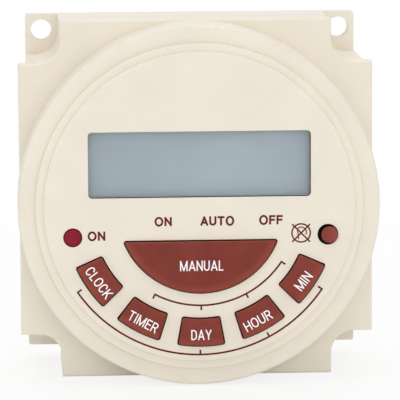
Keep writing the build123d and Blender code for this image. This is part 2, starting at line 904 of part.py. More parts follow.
coil_pins = [beside_relay(coil_pin_x, -coil_pin_z), beside_relay(coil_pin_x, coil_pin_z)]
contact_posts = [beside_relay(open_post_x, 0), beside_relay(closed_post_x, 0)]
film_leads = [(film_capacitor_x, film_capacitor_z + side * film_lead_pitch / 2) for side in (-1, 1)]
smoothing_leads = [
    (smoothing_capacitor_x + side * smoothing_lead_pitch / 2, smoothing_capacitor_z) for side in (-1, 1)
]
varistor_leads = [(varistor_x, varistor_z + side * varistor_lead_pitch / 2) for side in (-1, 1)]
diode_reach = diode_length / 2 + lead_length
diode_leads = [(diode_x + side * diode_reach, z) for side in (-1, 1) for z in diode_places]
resistor_reach = resistor_length / 2 + lead_length
resistor_leads = [(x, resistor_z + side * resistor_reach) for side in (-1, 1) for x in resistor_x]
transistor_leads = [(transistor_x + i * transistor_pitch, transistor_z) for i in (-1, 0, 1)]
battery_reach = battery_r + lead_length
round_leads = [
    *film_leads,
    *smoothing_leads,
    *varistor_leads,
    *diode_leads,
    *resistor_leads,
    *transistor_leads,
]

# Power board
with BuildPart() as power_board:
    with BuildSketch(level(power_board_rear)):
        with Locations((0, power_board_bottom)):
            Rectangle(
                power_board_width,
                power_board_shoulder - power_board_bottom,
                align=(Align.CENTER, Align.MIN),
            )
            Rectangle(
                power_board_neck,
                power_board_top - power_board_bottom,
                align=(Align.CENTER, Align.MIN),
            )
        with Locations(*power_screw_points):
            Circle(board_screw_r + fit_gap, mode=Mode.SUBTRACT)
        with Locations(*[(x, leg_z) for x in terminal_places]):
            Rectangle(tab_thickness + 2 * fit_gap, leg_width + 2 * fit_gap, mode=Mode.SUBTRACT)
        with Locations(*link_points):
            Rectangle(link_pin + 2 * fit_gap, link_pin + 2 * fit_gap, mode=Mode.SUBTRACT)
        with Locations(*coil_pins, *contact_posts):
            Circle(relay_pin_hole_r, mode=Mode.SUBTRACT)
        with Locations(*round_leads):
            Circle(lead_r + fit_gap, mode=Mode.SUBTRACT)
        with Locations((battery_x - battery_reach, battery_z), (battery_x + battery_reach, battery_z)):
            Rectangle(
                battery_tab_thickness + 2 * fit_gap,
                battery_tab_width + 2 * fit_gap,
                mode=Mode.SUBTRACT,
            )
    extrude(amount=board_thickness)
save(power_board, "power_board")

with BuildPart() as power_board_screws:
    with BuildSketch(level(power_board_front)):
        with Locations(*power_screw_points):
            Circle(board_screw_head_r)
    extrude(amount=board_screw_head)
    with BuildSketch(level(power_board_front - board_screw_length + fit_gap)):
        with Locations(*power_screw_points):
            Circle(board_screw_r)
    extrude(amount=board_screw_length - fit_gap)
    recess_rear = power_board_front + board_screw_head - cross_depth
    add(cross_recess(power_screw_points, recess_rear), mode=Mode.SUBTRACT)
save(power_board_screws, "power_board_screws")

# Link between the boards: a strip on the power board and its long square pins
with BuildPart() as link_header:
    with Locations(at(0, power_board_front, link_z)):
        Box(link_pin_count * link_pin_pitch, link_strip, link_strip, align=FORWARD)
    with BuildSketch(level(power_board_front)):
        with Locations(*link_points):
            Rectangle(link_pin + 2 * fit_gap, link_pin + 2 * fit_gap)
    extrude(amount=link_strip, mode=Mode.SUBTRACT)
save(link_header, "link_header")

with BuildPart() as link_pins:
    with BuildSketch(level(leg_rear)):
        with Locations(*link_points):
            Rectangle(link_pin, link_pin)
    extrude(amount=display_board_front + solder_length - leg_rear)
save(link_pins, "link_pins")


def lead_pins(points, top):
    """Round leads from their solder side behind the power board up to a depth."""
    with BuildPart() as leads:
        with BuildSketch(level(leg_rear)):
            with Locations(*points):
                Circle(lead_r)
        extrude(amount=top - leg_rear)
    return leads.part


def axial_part(x, z, turn, body_r, body_length):
    """Round body on a bent wire that lies along the power board, turned about its centre."""
    depth = power_board_front + lead_stand + body_r
    reach = body_length / 2 + lead_length
    with BuildPart() as axial:
        with BuildLine() as wire:
            FilletPolyline(
                (-reach, -leg_rear),
                (-reach, -depth),
                (reach, -depth),
                (reach, -leg_rear),
                radius=lead_bend_r,
            )
        with BuildSketch(Plane(origin=wire.line @ 0, z_dir=wire.line % 0)):
            Circle(lead_r)
        sweep()
        with Locations((0, -depth, 0)):
            Cylinder(body_r, body_length, rotation=(0, 90, 0))
    return Location((x, 0, z), (0, turn, 0)) * axial.part


# Capacitors, varistor, diodes, resistors and transistor
with BuildPart() as film_capacitor:
    with Locations(at(film_capacitor_x, power_board_front, film_capacitor_z)):
        Box(
            film_capacitor_width,
            film_capacitor_height,
            film_capacitor_length,
            align=FORWARD,
        )
    fillet(film_capacitor.faces().sort_by(Axis.Y)[0].edges(), moulded_round)
    add(lead_pins(film_leads, power_board_front))
save(film_capacitor, "film_capacitor")

with BuildPart() as smoothing_capacitor:
    with BuildSketch(level(power_board_front)):
        with Locations((smoothing_capacitor_x, smoothing_capacitor_z)):
            Circle(smoothing_capacitor_r)
    extrude(amount=smoothing_capacitor_height)
    fillet(smoothing_capacitor.faces().sort_by(Axis.Y)[0].edges(), moulded_round)
    add(lead_pins(smoothing_leads, power_board_front))
save(smoothing_capacitor, "smoothing_capacitor")

varistor_depth = power_board_front + varistor_stand + varistor_r
with BuildPart() as varistor:
    with Locations(at(varistor_x, varistor_depth, varistor_z)):
        Cylinder(varistor_r, varistor_thickness, rotation=(0, 90, 0))
    fillet(varistor.edges().filter_by(GeomType.CIRCLE), varistor_round)
    add(lead_pins(varistor_leads, power_board_front + 2 * varistor_stand + lead_stand))
save(varistor, "varistor")

with BuildPart() as rectifier_diodes:
    for z in diode_places:
        add(axial_part(diode_x, z, 0, diode_r, diode_length))
save(rectifier_diodes, "rectifier_diodes")

with BuildPart() as dropper_resistors:
    for x in resistor_x:
        add(axial_part(x, resistor_z, 90, resistor_r, resistor_length))
save(dropper_resistors, "dropper_resistors")

with BuildPart() as driver_transistor:
    with BuildSketch(level(power_board_front + transistor_stand)):
        with Locations((transistor_x, transistor_z)):
            Circle(transistor_r)
            with Locations((0, transistor_flat)):
                Rectangle(
                    2 * transistor_r,
                    transistor_r,
                    align=(Align.CENTER, Align.MIN),
                    mode=Mode.SUBTRACT,
                )
    extrude(amount=transistor_height)
    add(lead_pins(transistor_leads, power_board_front + transistor_stand))
save(driver_transistor, "driver_transistor")

# Backup cell between its two welded tabs
battery_rear = power_board_front + lead_stand + battery_tab_thickness
battery_front = battery_rear + battery_height
with BuildPart() as backup_battery:
    with BuildSketch(level(battery_rear)):
        with Locations((battery_x, battery_z)):
            Circle(battery_r)
    extrude(amount=battery_height)
    fillet(backup_battery.edges().filter_by(GeomType.CIRCLE), moulded_round)
save(backup_battery, "backup_battery")

with BuildPart() as battery_tabs:
    for side, strip_rear in ((-1, battery_rear - battery_tab_thickness), (1, battery_front)):
        leg_x = battery_x + side * battery_reach
        strip_front = strip_rear + battery_tab_thickness
        with Locations(at(battery_x + side * battery_reach / 2, strip_rear, battery_z)):
            Box(
                battery_reach + battery_tab_thickness,
                battery_tab_thickness,
                battery_tab_width,
                align=FORWARD,
            )
        with Locations(at(leg_x, leg_rear, battery_z)):
            Box(battery_tab_thickness, strip_front - leg_rear, battery_tab_width, align=FORWARD)
save(battery_tabs, "battery_tabs")

# Relay case, open towards the board
with BuildPart() as relay_case:
    with Locations(in_relay(0, 0)):
        Box(relay_length, relay_height, relay_width, align=FORWARD)
    fillet(relay_case.faces().sort_by(Axis.Y)[0].edges(), moulded_round)
    with Locations(in_relay(0, 0)):
        Box(
            relay_length - 2 * relay_wall,
            relay_height - relay_wall,
            relay_width - 2 * relay_wall,
            align=FORWARD,
            mode=Mode.SUBTRACT,
        )
save(relay_case, "relay_case")

# Relay base with holes for the pins
relay_floor = relay_base_lift + relay_base_thickness
with BuildPart() as relay_base:
    with BuildSketch(level(power_board_front + relay_base_lift)):
        with Locations((relay_x, relay_z)):
            Rectangle(
                relay_length - 2 * (relay_wall + fit_gap), relay_width - 2 * (relay_wall + fit_gap)
            )
        with Locations(*coil_pins, *contact_posts):
            Circle(relay_pin_hole_r, mode=Mode.SUBTRACT)
    extrude(amount=relay_base_thickness)
save(relay_base, "relay_base")

# Magnet: a bent yoke, the core with its pole face, the bobbin and its winding
yoke_under = yoke_top - yoke_thickness
coil_height = (relay_floor + yoke_under) / 2
bobbin_flange_height = yoke_under - relay_floor - 2 * fit_gap
core_left = yoke_left + yoke_thickness
bobbin_left = core_left + fit_gap
pole_front = yoke_right - fit_gap
bobbin_right = pole_front - pole_thickness - fit_gap
with BuildPart() as relay_yoke:
    with Locations(in_relay(yoke_left + yoke_thickness / 2, relay_floor)):
        Box(yoke_thickness, yoke_top - relay_floor, yoke_width, align=FORWARD)
    with Locations(in_relay((yoke_left + yoke_right) / 2, yoke_under)):
        Box(yoke_right - yoke_left, yoke_thickness, yoke_width, align=FORWARD)
save(relay_yoke, "relay_yoke")

ALONG = (Align.CENTER, Align.CENTER, Align.MIN)
with BuildPart() as relay_core:
    with Locations(in_relay(core_left, coil_height)):
        Cylinder(core_r, pole_front - core_left, rotation=(0, 90, 0), align=ALONG)
    with Locations(in_relay(pole_front - pole_thickness, coil_height)):
        Cylinder(pole_r, pole_thickness, rotation=(0, 90, 0), align=ALONG)
save(relay_core, "relay_core")

with BuildPart() as relay_bobbin:
    bobbin_bore_r = core_r + fit_gap / 2
    tube_r = bobbin_bore_r + bobbin_wall
    with Locations(in_relay(bobbin_left, coil_height)):
        Cylinder(tube_r, bobbin_right - bobbin_left, rotation=(0, 90, 0), align=ALONG)
    with Locations(
        in_relay(bobbin_left + bobbin_flange_thickness / 2, relay_floor + fit_gap),
        in_relay(bobbin_right - bobbin_flange_thickness / 2, relay_floor + fit_gap),
    ):
        Box(bobbin_flange_thickness, bobbin_flange_height, bobbin_flange_width, align=FORWARD)
    with Locations(in_relay(bobbin_left, coil_height)):
        Cylinder(
            bobbin_bore_r,
            bobbin_right - bobbin_left,
            rotation=(0, 90, 0),
            align=ALONG,
            mode=Mode.SUBTRACT,
        )
save(relay_bobbin, "relay_bobbin")

winding_left = bobbin_left + bobbin_flange_thickness + fit_gap / 2
winding_right = bobbin_right - bobbin_flange_thickness - fit_gap / 2
with BuildPart() as relay_winding:
    with Locations(in_relay(winding_left, coil_height)):
        Cylinder(winding_r, winding_right - winding_left, rotation=(0, 90, 0), align=ALONG)
        Cylinder(
            tube_r + fit_gap / 2,
            winding_right - winding_left,
            rotation=(0, 90, 0),
            align=ALONG,
            mode=Mode.SUBTRACT,
        )
save(relay_winding, "relay_winding")

# Armature that hangs from the yoke's edge, and the bent leaf with the moving contact on it
armature_left = pole_front + armature_gap
armature_right = armature_left + armature_thickness
with BuildPart() as relay_armature:
    with Locations(in_relay(armature_left + armature_thickness / 2, armature_low)):
        Box(armature_thickness, armature_high - armature_low, armature_width, align=FORWARD)
save(relay_armature, "relay_armature")

contact_low = spring_low - contact_height
contact_high = spring_low + spring_thickness + contact_height
with BuildPart() as relay_spring:
    with Locations(in_relay(armature_right + spring_thickness / 2, spring_low)):
        Box(spring_thickness, spring_high - spring_low, spring_width, align=FORWARD)
    with Locations(in_relay((armature_right + spring_right) / 2, spring_low)):
        Box(spring_right - armature_right, spring_thickness, spring_width, align=FORWARD)
    with BuildSketch(level(power_board_front + contact_low)):
        with Locations(beside_relay(contact_x, 0)):
            Circle(contact_r)
    extrude(amount=contact_high - contact_low)
save(relay_spring, "relay_spring")

# Fixed contacts on their posts, below and above the moving one, and the coil's pins
open_contact_top = contact_low - contact_travel
open_plate_rear = open_contact_top - contact_height - fixed_plate_thickness
closed_contact_rear = contact_high + contact_rest_gap
closed_plate_rear = closed_contact_rear + contact_height
closed_plate_front = closed_plate_rear + fixed_plate_thickness
post_foot = leg_rear - power_board_front
with BuildPart() as relay_contacts:
    with Locations(in_relay((open_post_x + contact_x + contact_r) / 2, open_plate_rear)):
        Box(
            contact_x + contact_r - open_post_x + relay_pin,
            fixed_plate_thickness,
            fixed_plate_width,
            align=FORWARD,
        )
    with Locations(in_relay((contact_x - contact_r + closed_post_x) / 2, closed_plate_rear)):
        Box(
            closed_post_x - contact_x + contact_r + fixed_plate_thickness,
            fixed_plate_thickness,
            fixed_plate_width,
            align=FORWARD,
        )
    with BuildSketch(level(power_board_front + open_contact_top - contact_height)):
        with Locations(beside_relay(contact_x, 0)):
            Circle(contact_r)
    extrude(amount=contact_height)
    with BuildSketch(level(power_board_front + closed_contact_rear)):
        with Locations(beside_relay(contact_x, 0)):
            Circle(contact_r)
    extrude(amount=contact_height)
    with Locations(in_relay(open_post_x, post_foot)):
        Box(fixed_plate_thickness, open_plate_rear - post_foot, relay_pin, align=FORWARD)
    with Locations(in_relay(closed_post_x, post_foot)):
        Box(fixed_plate_thickness, closed_plate_front - post_foot, relay_pin, align=FORWARD)
    coil_pin_height = relay_floor + relay_pin - post_foot
    with Locations(
        in_relay(coil_pin_x, post_foot, -coil_pin_z), in_relay(coil_pin_x, post_foot, coil_pin_z)
    ):
        Box(fixed_plate_thickness, coil_pin_height, relay_pin, align=FORWARD)
save(relay_contacts, "relay_contacts")
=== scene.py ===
from math import cos, radians, sin

import bmesh
import bpy
from mathutils import Matrix, Vector


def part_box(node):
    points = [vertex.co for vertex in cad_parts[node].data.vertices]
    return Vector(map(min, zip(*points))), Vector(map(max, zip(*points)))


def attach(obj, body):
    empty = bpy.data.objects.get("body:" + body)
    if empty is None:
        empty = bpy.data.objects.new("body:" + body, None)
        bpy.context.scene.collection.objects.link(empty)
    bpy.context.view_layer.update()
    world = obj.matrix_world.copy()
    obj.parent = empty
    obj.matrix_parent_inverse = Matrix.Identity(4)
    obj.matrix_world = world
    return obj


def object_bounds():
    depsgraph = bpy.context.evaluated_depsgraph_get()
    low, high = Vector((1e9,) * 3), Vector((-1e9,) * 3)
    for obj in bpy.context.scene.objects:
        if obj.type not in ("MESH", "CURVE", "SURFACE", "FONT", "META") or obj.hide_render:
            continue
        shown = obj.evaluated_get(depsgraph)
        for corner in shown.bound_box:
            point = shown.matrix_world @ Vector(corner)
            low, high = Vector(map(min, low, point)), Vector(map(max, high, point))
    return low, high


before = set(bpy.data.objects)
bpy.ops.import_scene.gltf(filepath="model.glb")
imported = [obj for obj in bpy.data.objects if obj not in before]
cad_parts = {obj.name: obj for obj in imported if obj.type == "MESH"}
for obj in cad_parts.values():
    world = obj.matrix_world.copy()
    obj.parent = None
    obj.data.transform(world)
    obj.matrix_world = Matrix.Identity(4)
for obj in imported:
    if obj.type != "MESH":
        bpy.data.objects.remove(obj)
cad_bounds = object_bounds()

# The scene is in metres, in the part's own frame: X to the right, Z up, -Y out of the face.
# Sizes are named in millimetres here, unless a comment says metres, and MM turns them into metres.
# A depth is a distance in front of the mounting plane, and a centre is the X and Z of a point.
MM = 0.001

# Fronts of the face and of the keys, from the solids
FACE_DEPTH = -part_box("front_cap")[0].y / MM
KEY_DEPTH = -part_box("manual_key")[0].y / MM

# Radii of the face, of the half-moon key and of the sector keys, and the centre of the keys
FACE_R = 26.1
MANUAL_R = 13.7
SECTOR_OUTER_R = 22.7
KEY_RING = (0.12, -0.7)

# Numbers in the names of the rear terminals
TERMINAL_NUMBERS = range(1, 6)

# Colours, as red, green and blue of 0 to 255
CREAM = (237, 229, 213)
CREAM_BASE = (239, 231, 216)
MANUAL_RED = (127, 50, 39)
SMALL_KEY_RED = (133, 55, 45)
# Painted highlight on the keys' rounded edges
KEY_HIGHLIGHT_RED = (166, 82, 64)
PRINT_RED = (102, 13, 9)
LEGEND_WHITE = (255, 255, 255)
NUMBER_GREY = (96, 88, 80)
CELL_GREY = (192, 210, 218)
# Painted shade in the gaps round the keys
GAP_SHADE_BLACK = (8, 6, 6)
BOARD_GREEN = (34, 92, 58)
TRACK_GREEN = (74, 140, 84)
FLOOR_WHITE = (252, 252, 252)


def linear(colour):
    """Linear RGBA of a screen colour, by the sRGB curve."""
    def channel(value):
        value = value / 255
        return value / 12.92 if value <= 0.04045 else ((value + 0.055) / 1.055) ** 2.4
    return (*(channel(value) for value in colour), 1.0)


def scaled(colour, factor):
    """The same colour, lighter or darker."""
    return tuple(min(255.0, value * factor) for value in colour)


# Camera, fitted to the photograph's outlines: angles in radians, distances in metres, and the lens and
# the sensor in millimetres
CAMERA_AZIMUTH = -0.0545
CAMERA_ELEVATION = 0.1413
CAMERA_ROLL = -0.0054
CAMERA_TARGET = Vector((0.6226 * MM, -21.2 * MM, -0.3213 * MM))
CAMERA_DISTANCE = 0.6
CAMERA_NEAR = 0.01
CAMERA_FAR = 20
CAMERA_LENS = 317.8
CAMERA_SENSOR = 36


def make_camera():
    """Long-lens camera a little above and to the left of the face."""
    back = Vector((
        sin(CAMERA_AZIMUTH) * cos(CAMERA_ELEVATION),
        -cos(CAMERA_AZIMUTH) * cos(CAMERA_ELEVATION),
        sin(CAMERA_ELEVATION),
    ))
    level_right = Vector((0, 0, 1)).cross(back).normalized()
    level_up = back.cross(level_right)
    right = cos(CAMERA_ROLL) * level_right + sin(CAMERA_ROLL) * level_up
    up = cos(CAMERA_ROLL) * level_up - sin(CAMERA_ROLL) * level_right
    camera = bpy.data.objects.new("camera", bpy.data.cameras.new("camera"))
    camera.data.lens = CAMERA_LENS
    camera.data.sensor_width = CAMERA_SENSOR
    camera.data.clip_start = CAMERA_NEAR
    camera.data.clip_end = CAMERA_FAR
    turn = Matrix((right, up, back)).transposed().to_4x4()
    camera.matrix_world = Matrix.Translation(CAMERA_TARGET + CAMERA_DISTANCE * back) @ turn
    bpy.context.scene.collection.objects.link(camera)
    bpy.context.scene.camera = camera


make_camera()


# Steps that the finishes are made of. Noise values lie mostly in NOISE_RANGE, and the patches of a colour
# turn into each other in the narrower PATCH_RANGE.
NOISE_RANGE = (0.3, 0.7)
PATCH_RANGE = (0.35, 0.65)
PATCH_DETAIL = 4.0
FINE_DETAIL = 3.0
GLOSS_VARIATION = 0.1
GRAIN_STRENGTH = 0.6


def shader_of(material):
    """The Principled shader of a material."""
    return material.node_tree.nodes["Principled BSDF"]


def noise(tree, size, detail):
    """Noise in the piece's own space, with features of about that size in millimetres."""
    place = tree.nodes.new("ShaderNodeTexCoord")
    texture = tree.nodes.new("ShaderNodeTexNoise")
    texture.inputs["Scale"].default_value = 1 / (size * MM)
    texture.inputs["Detail"].default_value = detail
    tree.links.new(place.outputs["Object"], texture.inputs["Vector"])
    return texture.outputs["Fac"]


def patches(tree, value, low, high):
    """Blend between two linear colours along a noise value."""
    blend = tree.nodes.new("ShaderNodeValToRGB")
    for element, position, colour in zip(blend.color_ramp.elements, PATCH_RANGE, (low, high)):
        element.position = position
        element.color = colour
    tree.links.new(value, blend.inputs["Fac"])
    return blend.outputs["Color"]


def mapped(tree, value, start, end, low, high, way="LINEAR"):
    """Value that goes from low to high, and no further, as the given one goes from start to end."""
    carry = tree.nodes.new("ShaderNodeMapRange")
    carry.interpolation_type = way
    carry.inputs["From Min"].default_value = start
    carry.inputs["From Max"].default_value = end
    carry.inputs["To Min"].default_value = low
    carry.inputs["To Max"].default_value = high
    tree.links.new(value, carry.inputs["Value"])
    return carry.outputs["Result"]


def rise(tree, value, start, end, top=1.0):
    """Smooth step of a length from 0 at start to top at end, both in millimetres."""
    low, high = (0.0, top) if start < end else (top, 0.0)
    return mapped(tree, value, min(start, end) * MM, max(start, end) * MM, low, high, "SMOOTHSTEP")


def bumped(tree, pattern, strength, height):
    """Bump node that raises a pattern by a height in millimetres."""
    bump = tree.nodes.new("ShaderNodeBump")
    bump.inputs["Strength"].default_value = strength
    bump.inputs["Distance"].default_value = height * MM
    tree.links.new(pattern, bump.inputs["Height"])
    return bump


def grained(name, colour, roughness, mottle=0.02, patch=6.0, grain=0.18, relief=0.004, metal=0.0,
            specular=0.5):
    """Solid finish: soft patches of colour, uneven gloss and a fine grain in relief.

    The patches are lighter and darker by the share mottle, and patch and grain are sizes.
    """
    material = bpy.data.materials.new(name)
    material.use_nodes = True
    tree = material.node_tree
    shader = shader_of(material)
    low = linear(scaled(colour, 1 - mottle))
    high = linear(scaled(colour, 1 + mottle / 2))
    base = patches(tree, noise(tree, patch, PATCH_DETAIL), low, high)
    gloss = mapped(tree, noise(tree, patch / 3, FINE_DETAIL), *NOISE_RANGE,
                   roughness * (1 - GLOSS_VARIATION), roughness * (1 + GLOSS_VARIATION))
    bump = bumped(tree, noise(tree, grain, FINE_DETAIL), GRAIN_STRENGTH, relief)
    tree.links.new(base, shader.inputs["Base Color"])
    tree.links.new(gloss, shader.inputs["Roughness"])
    tree.links.new(bump.outputs["Normal"], shader.inputs["Normal"])
    shader.inputs["Metallic"].default_value = metal
    shader.inputs["Specular IOR Level"].default_value = specular
    return material


def blended(tree, factor, first, second):
    """Colour that goes from one to the other as the factor goes from 0 to 1."""
    mix = tree.nodes.new("ShaderNodeMix")
    mix.data_type = "RGBA"
    tree.links.new(factor, mix.inputs["Factor"])
    for socket, value in ((mix.inputs["A"], first), (mix.inputs["B"], second)):
        if isinstance(value, bpy.types.NodeSocket):
            tree.links.new(value, socket)
        else:
            socket.default_value = linear(value)
    return mix.outputs["Result"]


def reckoned(tree, operation, first, second):
    """Math node on two sockets."""
    node = tree.nodes.new("ShaderNodeMath")
    node.operation = operation
    tree.links.new(first, node.inputs[0])
    tree.links.new(second, node.inputs[1])
    return node.outputs["Value"]


def place_on_face(tree, centre=(0.0, 0.0)):
    """The piece's own Y, and its distance from an axis through that point of the face."""
    place = tree.nodes.new("ShaderNodeTexCoord")
    split = tree.nodes.new("ShaderNodeSeparateXYZ")
    tree.links.new(place.outputs["Object"], split.inputs["Vector"])
    moved = tree.nodes.new("ShaderNodeVectorMath")
    moved.operation = "MULTIPLY_ADD"
    moved.inputs[1].default_value = (1, 0, 1)
    moved.inputs[2].default_value = (-centre[0] * MM, 0, -centre[1] * MM)
    tree.links.new(place.outputs["Object"], moved.inputs[0])
    radius = tree.nodes.new("ShaderNodeVectorMath")
    radius.operation = "LENGTH"
    tree.links.new(moved.outputs["Vector"], radius.inputs[0])
    return split.outputs["Y"], radius.outputs["Value"]


def colour_source(shader):
    """The socket that a finish takes its colour from so far."""
    return shader.inputs["Base Color"].links[0].from_socket


# Painted shade: the cap darkens to black in the gaps round the keys, between two distances behind the
# face. Two distances inside the face's edge keep that off the steps round the face.
GAP_LIT_TO = 0.06
GAP_DARK_FROM = 0.3
FACE_EDGE_LIT_TO = 0.2
FACE_EDGE_DARK_FROM = 0.3


def cap_plastic(name):
    """Cream plastic of the cap, with painted shade: black in the gaps round the keys, where no light gets
    in.
    """
    material = grained(name, CREAM, 0.36, mottle=0.012, patch=9.0, grain=0.22)
    tree = material.node_tree
    shader = shader_of(material)
    own_y, radius = place_on_face(tree)
    # painted shade: black behind the face in the gaps round the keys, kept off the face's steps
    shade_depth = rise(tree, own_y, GAP_LIT_TO - FACE_DEPTH, GAP_DARK_FROM - FACE_DEPTH)
    within = rise(tree, radius, FACE_R - FACE_EDGE_LIT_TO, FACE_R - FACE_EDGE_DARK_FROM)
    gap = reckoned(tree, "MULTIPLY", shade_depth, within)
    tree.links.new(blended(tree, gap, colour_source(shader), GAP_SHADE_BLACK), shader.inputs["Base Color"])
    return material


# A key gets a painted highlight, paler on its rounded edge, which starts and ends at two distances behind
# its front, and in a band along its outer arc. Painted shade darkens it between two distances behind the
# face.
KEY_EDGE_START = 0.02
KEY_EDGE_END = 0.4
KEY_EDGE_HIGHLIGHT_SHARE = 0.9
KEY_BAND = 1.6
KEY_BAND_HIGHLIGHT_SHARE = 0.4
KEY_LIT_TO = 0.02
KEY_DARK_FROM = 0.12


def key_plastic(name, colour, outer_r):
    """Red-brown key: painted highlight at its rounded edges and towards the arc below, painted shade in
    the gap.
    """
    material = grained(name, colour, 0.42, mottle=0.05, patch=3.0, grain=0.12, relief=0.002, specular=0.2)
    tree = material.node_tree
    shader = shader_of(material)
    own_y, radius = place_on_face(tree, KEY_RING)
    # painted highlight on the rounded edge and along the outer arc
    edge = rise(tree, own_y, KEY_EDGE_START - KEY_DEPTH, KEY_EDGE_END - KEY_DEPTH, KEY_EDGE_HIGHLIGHT_SHARE)
    outer = rise(tree, radius, outer_r - KEY_BAND, outer_r, KEY_BAND_HIGHLIGHT_SHARE)
    glow = blended(tree, reckoned(tree, "MAXIMUM", edge, outer), colour_source(shader), KEY_HIGHLIGHT_RED)
    # painted shade: black where the key's side sits in the gap behind the face
    shade_depth = rise(tree, own_y, KEY_LIT_TO - FACE_DEPTH, KEY_DARK_FROM - FACE_DEPTH)
    tree.links.new(blended(tree, shade_depth, glow, GAP_SHADE_BLACK), shader.inputs["Base Color"])
    shader.inputs["Subsurface Weight"].default_value = 0.1
    shader.inputs["Subsurface Radius"].default_value = (0.8, 0.3, 0.2)
    shader.inputs["Subsurface Scale"].default_value = 0.5 * MM
    return material


def clear_plastic(name, tint, roughness):
    """Clear moulding with the faint waves of its mould."""
    material = grained(name, tint, roughness, mottle=0.01, patch=8.0, grain=1.2, relief=0.001)
    shader = shader_of(material)
    shader.inputs["Transmission Weight"].default_value = 1.0
    shader.inputs["IOR"].default_value = 1.49
    return material


# Copper tracks under the lacquer: the size of the cells that they run round, and the reach of their even
# middle and of their edge to either side, as shares of that size
TRACK_CELL = 3.5
TRACK_MIDDLE = 0.04
TRACK_EDGE = 0.08


def circuit_board(name):
    """Green lacquer over a net of copper tracks."""
    material = grained(name, BOARD_GREEN, 0.35, mottle=0.08, patch=5.0, grain=0.3)
    tree = material.node_tree
    shader = shader_of(material)
    place = tree.nodes.new("ShaderNodeTexCoord")
    cells = tree.nodes.new("ShaderNodeTexVoronoi")
    cells.feature = "DISTANCE_TO_EDGE"
    cells.inputs["Scale"].default_value = 1 / (TRACK_CELL * MM)
    tree.links.new(place.outputs["Object"], cells.inputs["Vector"])
    track = mapped(tree, cells.outputs["Distance"], TRACK_MIDDLE, TRACK_EDGE, 1.0, 0.0)
    tree.links.new(blended(tree, track, colour_source(shader), TRACK_GREEN), shader.inputs["Base Color"])
    return material


# Turns of the relay's wire: their pitch, the height of their relief, and the number of bands that the
# wave pattern has in one unit of its scale
WIRE_PITCH = 0.16
WIRE_RELIEF = 0.05
WAVE_BANDS = 3.2


def wound_wire(name, colour):
    """Enamelled wire in turns across the X axis."""
    material = grained(name, colour, 0.3, mottle=0.06, patch=2.0, grain=0.2, relief=0.002, metal=0.8)
    tree = material.node_tree
    shader = shader_of(material)
    place = tree.nodes.new("ShaderNodeTexCoord")
    wave = tree.nodes.new("ShaderNodeTexWave")
    wave.bands_direction = "X"
    wave.inputs["Scale"].default_value = 1 / (WIRE_PITCH * MM) / WAVE_BANDS
    tree.links.new(place.outputs["Object"], wave.inputs["Vector"])
    turns = bumped(tree, wave.outputs["Fac"], 1.0, WIRE_RELIEF)
    tree.links.new(shader.inputs["Normal"].links[0].from_socket, turns.inputs["Normal"])
    tree.links.new(turns.outputs["Normal"], shader.inputs["Normal"])
    return material


